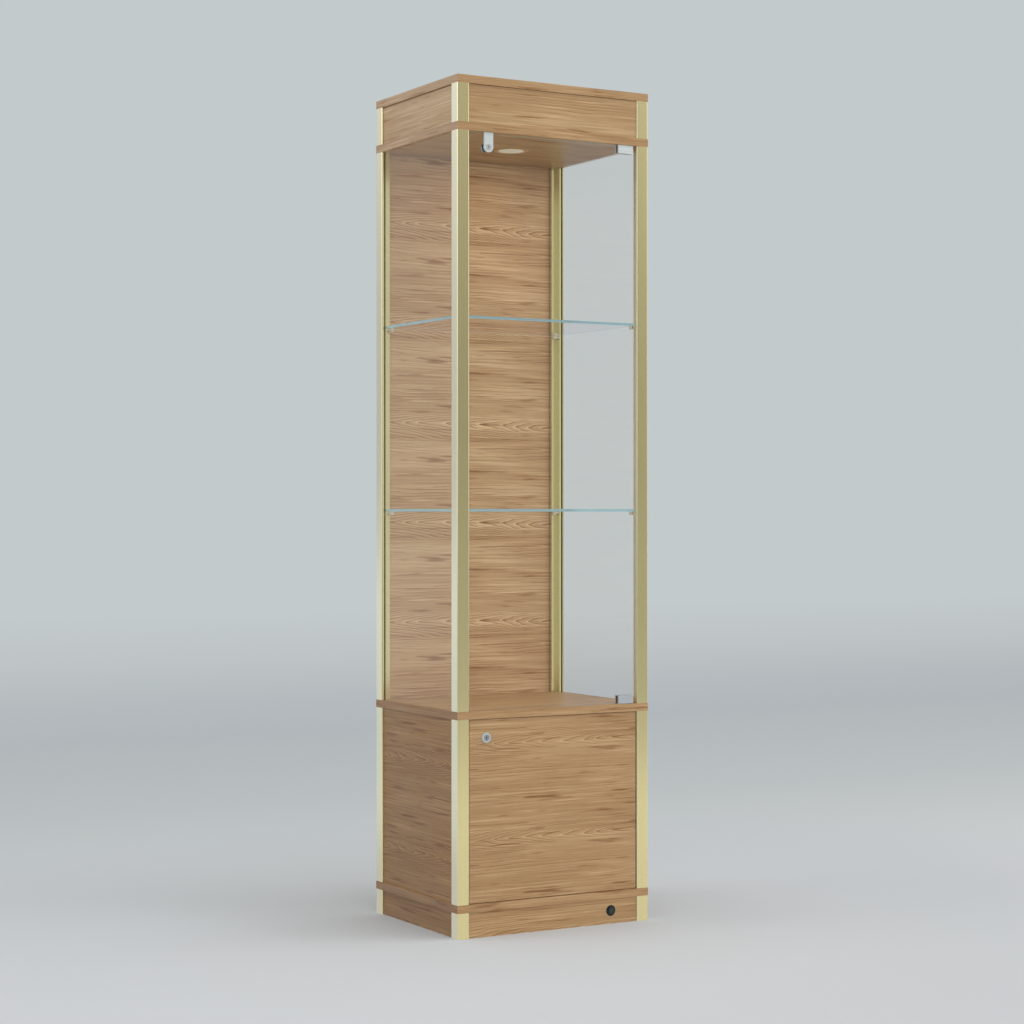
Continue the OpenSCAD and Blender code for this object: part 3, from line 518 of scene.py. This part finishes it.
# painted shade: the plinth sides are darker and less blue than the plinth front
oakPlinthSidePaintedShade = makeOak("oakPlinthSidePaintedShade", shortRepeat, seed=25.3, spots=0.8, toneAndPaintedLight=(0.68, 0.59, 0.46))
# the upper boards' ends get painted light, paler and bluer
oakUpper = makeOak("oakUpperBoards", longRepeat, seed=30.3, bold=0.3, toneAndPaintedLight=(1.02, 1.01, 1.0),
                   ends=(0.97, 1.07, 1.40))
# the lower boards' ends get painted shade, darker
oakLower = makeOak("oakLowerBoards", longRepeat, seed=30.3, bold=0.3, toneAndPaintedLight=(0.99, 0.98, 0.99),
                   ends=(0.71, 0.65, 0.60))
champagne = makeChampagne("champagneAnodised")
satinChrome = makeSatin("satinChrome", (226, 232, 229), rough=0.30, metallic=0.35)
satinSteel = makeSatin("satinSteel", (196, 200, 200), rough=0.30)
patchChrome = makeSatin("patchChrome", (214, 220, 224), rough=0.30, metallic=0.8)
lockSteel = makeSatin("lockSteel", (202, 206, 206), rough=0.28, metallic=0.4)
plugSteel = makeSatin("plugSteel", (160, 165, 167), rough=0.28, metallic=0.5)
edgeBanding = makePlastic("edgeBanding", (176, 137, 98), rough=0.5, grain=500.0)
supportBrass = makeSatin("supportBrass", (222, 212, 184), rough=0.28, stretch=drawnUpright, metallic=0.35)
lampBrass = makeSatin("lampBrass", (216, 178, 130), rough=0.30, stretch=drawnUpright, metallic=0.25)
blackRubber = makePlastic("blackRubber", (28, 27, 27), rough=0.62, grain=1500.0, specular=0.3)
blackPlastic = makePlastic("blackPlastic", (24, 24, 24), rough=0.34)
greyPlastic = makePlastic("greyPlastic", (50, 56, 58), rough=0.40)
lensOpal = makePlastic("lensOpal", (196, 192, 176), rough=0.45, grain=700.0, glow=(204, 198, 172))
driverWhite = makePlastic("driverWhite", (226, 226, 220), rough=0.5, grain=600.0)
shelfGlass = makeGlass("shelfGlass", (0.0, 0.0, 1.0), edge=(98, 116, 121), paintedEdgeGlow=(114, 137, 141),
                       face=(249, 246, 255), ground=0.25)
doorGlass = makeGlass("doorGlass", (0.0, 1.0, 0.0), edge=(176, 178, 170), paintedEdgeGlow=(106, 114, 106),
                      ground=0.6)
sideGlass = makeGlass("sideGlass", (1.0, 0.0, 0.0), edge=(120, 150, 140), paintedEdgeGlow=(34, 48, 44))
print("finishes made")


# finishes on the CAD pieces; the corner posts, which aren't listed, are champagne

finishOf = {
    "top_board": oakUpper, "ceiling_board": oakUpper, "deck_board": oakLower, "base_board": oakLower,
    "canopy_panel_front": oakCanopy, "canopy_panel_back": oakCanopy,
    "canopy_panel_left": oakCanopySidePaintedLight, "canopy_panel_right": oakCanopySidePaintedLight,
    "display_back_panel": oakBackPaintedLight, "storage_back_panel": oakBackPaintedLight,
    "storage_side_left": oakSidePaintedShade, "storage_side_right": oakSidePaintedShade, "storage_door_panel": oakDoor,
    "plinth_panel_front": oakPlinth, "plinth_panel_back": oakPlinth,
    "plinth_panel_left": oakPlinthSidePaintedShade, "plinth_panel_right": oakPlinthSidePaintedShade,
    "side_glass_left": sideGlass, "side_glass_right": sideGlass,
    "shelf_upper": shelfGlass, "shelf_lower": shelfGlass, "glass_door_pane": doorGlass,
    "glazing_gaskets": blackRubber, "glass_door_pads": blackRubber, "cable_grommet": blackRubber,
    "shelf_supports": supportBrass, "storage_door_bushes": supportBrass,
    "door_patch_top": satinChrome, "door_patch_bottom": patchChrome, "glass_lock_plate": satinChrome,
    "glass_lock_case": satinSteel, "glass_lock_plug": lockSteel, "glass_lock_bolt": satinSteel,
    "storage_lock_barrel": lockSteel, "storage_lock_nut": satinSteel, "storage_lock_plug": plugSteel,
    "storage_lock_cam": satinSteel, "pivot_pins": satinSteel, "tie_rods": satinSteel,
    "switch_body": blackPlastic, "switch_button": greyPlastic,
    "downlight_can": lampBrass, "downlight_lens": lensOpal, "lamp_driver": driverWhite,
}
for nodeName, cadObject in nodesOf.items():
    finish = finishOf.get(nodeName, champagne)
    cadObject.data.materials.clear()
    cadObject.data.materials.append(finish)
print("finishes placed on", len(nodesOf), "CAD pieces")


# small pieces beside the CAD ones

class Geo(Board):
    # the same board for Geometry Nodes, with its modifier inputs named once
    def __init__(self, name, inputs):
        super().__init__(bpy.data.node_groups.new(name, "GeometryNodeTree"))
        sockets = self.tree.interface
        for label, kind, value in inputs:
            s = sockets.new_socket(name=label, in_out="INPUT", socket_type=kind)
            if value is not None:
                s.default_value = value
        sockets.new_socket(name="Geometry", in_out="OUTPUT", socket_type="NodeSocketGeometry")
        self.given = self.tree.nodes.new("NodeGroupInput").outputs
        self.end = self.tree.nodes.new("NodeGroupOutput").inputs[0]

    def move(self, geometry, place=(0.0, 0.0, 0.0), turn=(0.0, 0.0, 0.0), scale=(1.0, 1.0, 1.0)):
        n = self.node("GeometryNodeTransform", Geometry=geometry, Translation=place, Rotation=turn,
                      Scale=scale)
        return n.outputs[0]

    def box(self, size, place=(0.0, 0.0, 0.0), turn=(0.0, 0.0, 0.0)):
        return self.move(self.node("GeometryNodeMeshCube", Size=size).outputs[0], place, turn)

    def join(self, *parts):
        n = self.node("GeometryNodeJoinGeometry")
        for part in parts:
            self.tree.links.new(part, n.inputs[0])
        return n.outputs[0]

    def repeat(self, points, instance, turn=None):
        n = self.node("GeometryNodeInstanceOnPoints", Points=points, Instance=instance)
        self.feed(n.inputs["Rotation"], turn)
        return self.node("GeometryNodeRealizeInstances", Geometry=n.outputs[0]).outputs[0]

    def close(self, geometry):
        done = self.node("GeometryNodeSetMaterial", Geometry=geometry, Material=self.given["Finish"])
        self.feed(self.end, done.outputs[0])


def placePiece(name, mesh, body):
    piece = bpy.data.objects.new(name, mesh)
    scene.collection.objects.link(piece)
    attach(piece, body)
    return piece


def grow(name, geo, values, body):
    # runs a Geometry Nodes tree once and keeps its plain mesh
    seedMesh = bpy.data.meshes.new(name + "Seed")
    host = bpy.data.objects.new(name + "Host", seedMesh)
    scene.collection.objects.link(host)
    modifier = host.modifiers.new("grow", "NODES")
    modifier.node_group = geo.tree
    for item in geo.tree.interface.items_tree:
        if item.in_out == "INPUT" and item.name in values:
            modifier[item.identifier] = values[item.name]
    graph = bpy.context.evaluated_depsgraph_get()
    graph.update()
    mesh = bpy.data.meshes.new_from_object(host.evaluated_get(graph), depsgraph=graph)
    mesh.name = name
    bpy.data.objects.remove(host)
    return placePiece(name, mesh, body)


# finger ribs round the switch bezel, lying on its sloping face
ribs = {"count": 28, "radius": 0.0111, "size": (0.0021, 0.0006, 0.0005), "slope": 21.8,
        "centre": (0.1505, -0.19756, 0.030)}


def makeSwitchRibs():
    geo = Geo("bezelRibs", [("Count", "NodeSocketInt", 24), ("Radius", floatIn, 0.011),
                            ("Rib Size", vectorIn, None), ("Finish", "NodeSocketMaterial", None)])
    ring = geo.node("GeometryNodeMeshCircle", Vertices=geo.given["Count"], Radius=geo.given["Radius"])
    rib = geo.box(geo.given["Rib Size"], turn=(0.0, radians(ribs["slope"]), 0.0))
    place = geo.node("GeometryNodeInputPosition").outputs[0]
    outward = geo.node("FunctionNodeAlignEulerToVector", {"axis": "X", "pivot_axis": "Z"}, Vector=place)
    row = geo.repeat(ring.outputs[0], rib, outward.outputs[0])
    geo.close(geo.move(row, ribs["centre"], turn=(radians(90), 0.0, 0.0)))
    values = {"Count": ribs["count"], "Radius": ribs["radius"], "Rib Size": ribs["size"],
              "Finish": blackPlastic}
    return grow("switch_bezel_ribs", geo, values, "cabinet")


# pan-head screws through the two ears of the lamp driver
screws = {"first": (-0.157, 0.090, 1.804), "count": 2, "step": 0.134, "head": 0.0034, "rise": 0.62,
          "recess": (0.0044, 0.0008, 0.0016), "shank": 0.0017, "depth": 0.012, "overlap": 0.0004}


def makeDriverScrews():
    geo = Geo("panScrews", [("Count", "NodeSocketInt", 2), ("Spacing", floatIn, 0.1),
                            ("Head Radius", floatIn, 0.003), ("Finish", "NodeSocketMaterial", None)])
    across = geo.vector(geo.given["Spacing"], 0.0, 0.0)
    row = geo.node("GeometryNodeMeshLine", {"mode": "OFFSET"}, Count=geo.given["Count"], Offset=across)
    ball = geo.node("GeometryNodeMeshUVSphere", Segments=32, Rings=16, Radius=geo.given["Head Radius"])
    dome = geo.move(ball.outputs[0], scale=(1.0, 1.0, screws["rise"]))
    # the lower half of the dome and the cross recess in its top are cut away
    top = (0.0, 0.0, screws["head"] * screws["rise"])
    long, wide, deep = screws["recess"]
    away = geo.join(geo.box((0.02, 0.02, 0.01), place=(0.0, 0.0, -0.005)),
                    geo.box((long, wide, deep), top), geo.box((wide, long, deep), top))
    cut = geo.node("GeometryNodeMeshBoolean", {"operation": "DIFFERENCE"})
    geo.feed(cut.inputs[0], dome)
    geo.feed(cut.inputs[1], away)
    shank = geo.node("GeometryNodeMeshCylinder", Vertices=24, Radius=screws["shank"],
                     Depth=screws["depth"])
    lower = (0.0, 0.0, -screws["depth"] / 2 + screws["overlap"])
    screw = geo.join(cut.outputs[0], geo.move(shank.outputs[0], lower))
    geo.close(geo.move(geo.repeat(row.outputs[0], screw), screws["first"]))
    values = {"Count": screws["count"], "Spacing": screws["step"], "Head Radius": screws["head"],
              "Finish": satinSteel}
    return grow("driver_screws", geo, values, "cabinet")


# edging strips on the top, bottom and lock edges of the cupboard door
edging = {"left": -0.218, "right": 0.218, "low": 0.077, "high": 0.481, "front": -0.1966,
          "back": -0.1815, "thick": 0.0011, "soft": 0.0003}


def makeEdging():
    bm = bmesh.new()
    e, t = edging, edging["thick"]
    strips = [((e["left"] - t, e["low"] - t), (e["left"], e["high"] + t)),
              ((e["left"], e["high"]), (e["right"], e["high"] + t)),
              ((e["left"], e["low"] - t), (e["right"], e["low"]))]
    for (x0, z0), (x1, z1) in strips:
        low, high = (x0, e["front"], z0), (x1, e["back"], z1)
        for v in bmesh.ops.create_cube(bm, size=1.0)["verts"]:
            v.co = Vector([start + (c + 0.5) * (end - start) for start, end, c in zip(low, high, v.co)])
    bmesh.ops.bevel(bm, geom=bm.edges[:], offset=e["soft"], segments=2, affect="EDGES")
    mesh = bpy.data.meshes.new("storage_door_edging")
    bm.to_mesh(mesh)
    bm.free()
    mesh.materials.append(edgeBanding)
    return placePiece("storage_door_edging", mesh, "storage_door")


makeSwitchRibs()
makeDriverScrews()
makeEdging()
print("small pieces made")


# floor, world, lamps and camera

# the paint where shadows fall, by the distance behind the cabinet's middle in metres; paler in front and
# darker behind, painted shade
floorTones = [(-0.8, (209, 211, 212)), (0.0, (204, 206, 207)), (1.2, (198, 202, 203))]
# the sweep behind the cabinet, by distance in metres: a glow that darkens out to about 4.3 m and pales
# again beyond, painted shade of the studio floor
backdropTones = [(0.0, (207, 209, 210)), (1.1, (194, 198, 199)), (1.75, (187, 192, 193)),
                 (2.9, (182, 188, 190)), (4.3, (177, 183, 186)), (6.1, (181, 187, 190)),
                 (7.0, (185, 191, 193)), (9.0, (190, 196, 198)), (11.5, (193, 199, 201)),
                 (15.0, (195, 202, 203))]
floorLook = {"radius": 60.0, "rough": 0.9, "specular": 0.1,
             # the floor takes shadows up to the first distance and only glows from the second one on
             "glowFrom": (1.0, 2.4),
             # the sweep runs along x, is closed at its far ends, and turns into the room's colour in front
             "sweepHalf": 3.0, "sweepRound": 0.6, "roomFrom": (-5.0, -14.0),
             # how bright metal and gloss find the floor: before the cabinet, behind it, and close to it
             "before": (1.2, 0.6), "beforeReach": (2.4, 5.5), "behind": 1.6, "behindFrom": (-1.0, 0.5),
             "close": 1.06, "closeReach": (2.4, 0.7),
             # painted shade: a little darker towards the right
             "paintedShadeRight": 0.96, "paintedShadeReach": (0.1, 1.3), "toTheRight": (0.87, -0.5)}
room = {"seen": (195, 202, 203),
        # what metal and gloss mirror, by height above the horizon: dark room before, soft lamp wall behind
        "front": [(0.0, 0.145), (0.08, 0.19), (0.14, 0.265), (0.18, 0.36), (0.5, 0.5), (1.0, 0.8)],
        "back": [(0.0, 0.62), (0.09, 0.64), (0.20, 1.05), (0.5, 1.2), (1.0, 0.8)],
        # the cabinet's front mirrors to the camera what lies opposite to this way: the room before
        "away": (-0.5, 0.87), "awayFrom": (-0.96, -0.40),
        # along x: where each level changes, and between which values
        "frontByX": (0.25, 0.9, 0.30, 3.3), "backByX": (-0.40, -0.56, 0.62, 1.40),
        # how bright the two pale walls are, and where along x each one starts and is full
        "walls": 1.0, "leftWall": (-0.15, -0.6), "rightWall": (0.72, 0.95),
        # plain light on matt surfaces: all round, and more from the front and from above
        "around": 0.19, "fromFront": 1.14, "fromTop": 0.60, "frontWay": (0.40, -0.91, 0.05),
        "tint": (0.97, 0.985, 1.0)}
lamps = {"keyLamp": {"place": (3.2, -2.2, 5.2), "target": (0.0, 0.0, 0.8), "width": 2.2, "power": 42.0},
         "leftLamp": {"place": (-2.0, 0.5, 3.1), "target": (-0.2, 0.0, 1.6), "width": 1.1, "power": 15.0},
         "downlight": {"place": (0.0, 0.0, 1.7795), "target": (0.0, 0.0, 0.0), "width": 0.05,
                       "power": 0.3, "color": (1.0, 0.90, 0.78)}}
camera = {"lens": 79.98, "sensor": 36.0, "place": (-2.6377, -4.5945, 0.9411), "turn": -29.89,
          "farthest": 200.0}


def makeFloor():
    look = floorLook
    mesh = bpy.data.meshes.new("floor")
    bm = bmesh.new()
    bmesh.ops.create_circle(bm, cap_ends=True, segments=96, radius=look["radius"])
    bm.to_mesh(mesh)
    bm.free()
    floor = bpy.data.objects.new("floor", mesh)
    scene.collection.objects.link(floor)
    material, b, shader, output, coords = startMaterial("floorPaint")
    place = b.node("ShaderNodeSeparateXYZ", Vector=coords["Object"]).outputs
    squares = [b.math("MULTIPLY", place[0], place[0]), b.math("MULTIPLY", place[1], place[1])]
    reach = b.math("SQRT", b.math("ADD", *squares))
    pastEnds = b.math("SUBTRACT", b.math("ABSOLUTE", place[0]), look["sweepHalf"])
    sweep = b.math("SMOOTH_MAX", place[1], pastEnds, look["sweepRound"])
    farthest = backdropTones[-1][0]
    far = b.ramp(b.math("DIVIDE", sweep, farthest), [(p / farthest, linear(*c)) for p, c in backdropTones])
    far = b.mixColor(b.remap(place[1], *look["roomFrom"]), far, linear(*room["seen"]))
    # metal and gloss find the floor bright close by and darker in the room before the cabinet
    rays = b.node("ShaderNodeLightPath").outputs
    notThroughGlass = b.math("SUBTRACT", 1.0, rays["Is Transmission Ray"])
    mirrored = b.math("MULTIPLY", rays["Is Glossy Ray"], notThroughGlass)
    before = b.remap(reach, *look["beforeReach"], *look["before"])
    gloss = b.choose(b.remap(place[1], *look["behindFrom"]), before, look["behind"])
    gloss = b.choose(b.remap(reach, *look["closeReach"]), gloss, look["close"])
    level = b.math("ADD", 1.0, b.math("MULTIPLY", mirrored, b.math("SUBTRACT", gloss, 1.0)))
    glow = b.node("ShaderNodeEmission", Color=far, Strength=level)
    shader.inputs["Roughness"].default_value = look["rough"]
    shader.inputs["Specular IOR Level"].default_value = look["specular"]
    first, last = floorTones[0][0], floorTones[-1][0]
    near = b.ramp(b.remap(place[1], first, last, smooth=False),
                  [((p - first) / (last - first), linear(*c)) for p, c in floorTones])
    rightX, rightY = look["toTheRight"]
    # painted shade: the floor's paint darkens towards the right
    paintedShadeRight = b.math("MULTIPLY_ADD", place[0], rightX, b.math("MULTIPLY", place[1], rightY))
    darker = b.remap(paintedShadeRight, *look["paintedShadeReach"])
    b.feed(shader.inputs["Base Color"], b.mixColor(darker, near, grey(look["paintedShadeRight"]), "MULTIPLY"))
    glowing = b.math("MAXIMUM", b.remap(reach, *look["glowFrom"]), mirrored)
    b.feed(output.inputs["Surface"], b.mixShader(glowing, shader.outputs[0], glow.outputs[0]))
    material.cycles.emission_sampling = "NONE"
    mesh.materials.append(material)


def makeWorld():
    world = bpy.data.worlds.new("studioWorld")
    scene.world = world
    world.cycles.sampling_method = "NONE"
    world.use_nodes = True
    world.node_tree.nodes.clear()
    b = Board(world.node_tree)
    way = b.node("ShaderNodeTexCoord").outputs["Generated"]
    direction = b.node("ShaderNodeSeparateXYZ", Vector=way).outputs

    def byHeight(tones):
        # the ramp holds half of each level, because its colours stop at 1
        return b.math("MULTIPLY", b.ramp(direction[2], [(h, grey(v / 2)) for h, v in tones]), 2.0)

    awayX, awayY = room["away"]
    away = b.math("MULTIPLY_ADD", direction[1], awayY, b.math("MULTIPLY", direction[0], awayX))
    behind = b.remap(away, *room["awayFrom"])
    before = b.math("MULTIPLY", byHeight(room["front"]), b.remap(direction[0], *room["frontByX"]))
    # pale walls to the left and right light the rounded corners of the profiles
    for wall in ("leftWall", "rightWall"):
        before = b.math("ADD", before, b.remap(direction[0], *room[wall], 0.0, room["walls"]))
    lampWall = b.math("MULTIPLY", byHeight(room["back"]),
                      b.remap(direction[0], *room["backByX"], smooth=False))
    mirrored = b.choose(behind, before, lampWall)
    front = b.math("MAXIMUM", b.dot(way, room["frontWay"]), 0.0)
    plain = b.math("MULTIPLY_ADD", front, room["fromFront"], room["around"])
    plain = b.math("MULTIPLY_ADD", b.math("MAXIMUM", direction[2], 0.0), room["fromTop"], plain)
    rays = b.node("ShaderNodeLightPath").outputs
    level = b.choose(rays["Is Glossy Ray"], plain, mirrored)
    soft = b.node("ShaderNodeBackground", Color=(*room["tint"], 1.0), Strength=level)
    seen = b.node("ShaderNodeBackground", Color=linear(*room["seen"]), Strength=1.0)
    direct = b.math("MAXIMUM", rays["Is Camera Ray"], rays["Is Transmission Ray"])
    b.node("ShaderNodeOutputWorld", Surface=b.mixShader(direct, soft.outputs[0], seen.outputs[0]))


def makeLamp(name, place, target, width, power, color=(1.0, 1.0, 1.0)):
    data = bpy.data.lights.new(name, "AREA")
    data.shape = "RECTANGLE"
    data.size = width
    data.size_y = width
    data.energy = power
    data.color = color
    lamp = bpy.data.objects.new(name, data)
    lamp.location = place
    lamp.rotation_euler = (Vector(target) - Vector(place)).to_track_quat("-Z", "Y").to_euler()
    lamp.visible_camera = lamp.visible_glossy = lamp.visible_transmission = False
    scene.collection.objects.link(lamp)


def makeCamera():
    # level, at the height and turn that the photo's own lines give
    data = bpy.data.cameras.new("camera")
    data.lens = camera["lens"]
    data.sensor_width = camera["sensor"]
    data.dof.use_dof = False
    data.clip_end = camera["farthest"]
    eye = bpy.data.objects.new("camera", data)
    eye.location = camera["place"]
    eye.rotation_euler = (radians(90), 0.0, radians(camera["turn"]))
    scene.collection.objects.link(eye)
    scene.camera = eye


makeFloor()
makeWorld()
for lampName, values in lamps.items():
    makeLamp(lampName, **values)
makeCamera()
print("studio set")
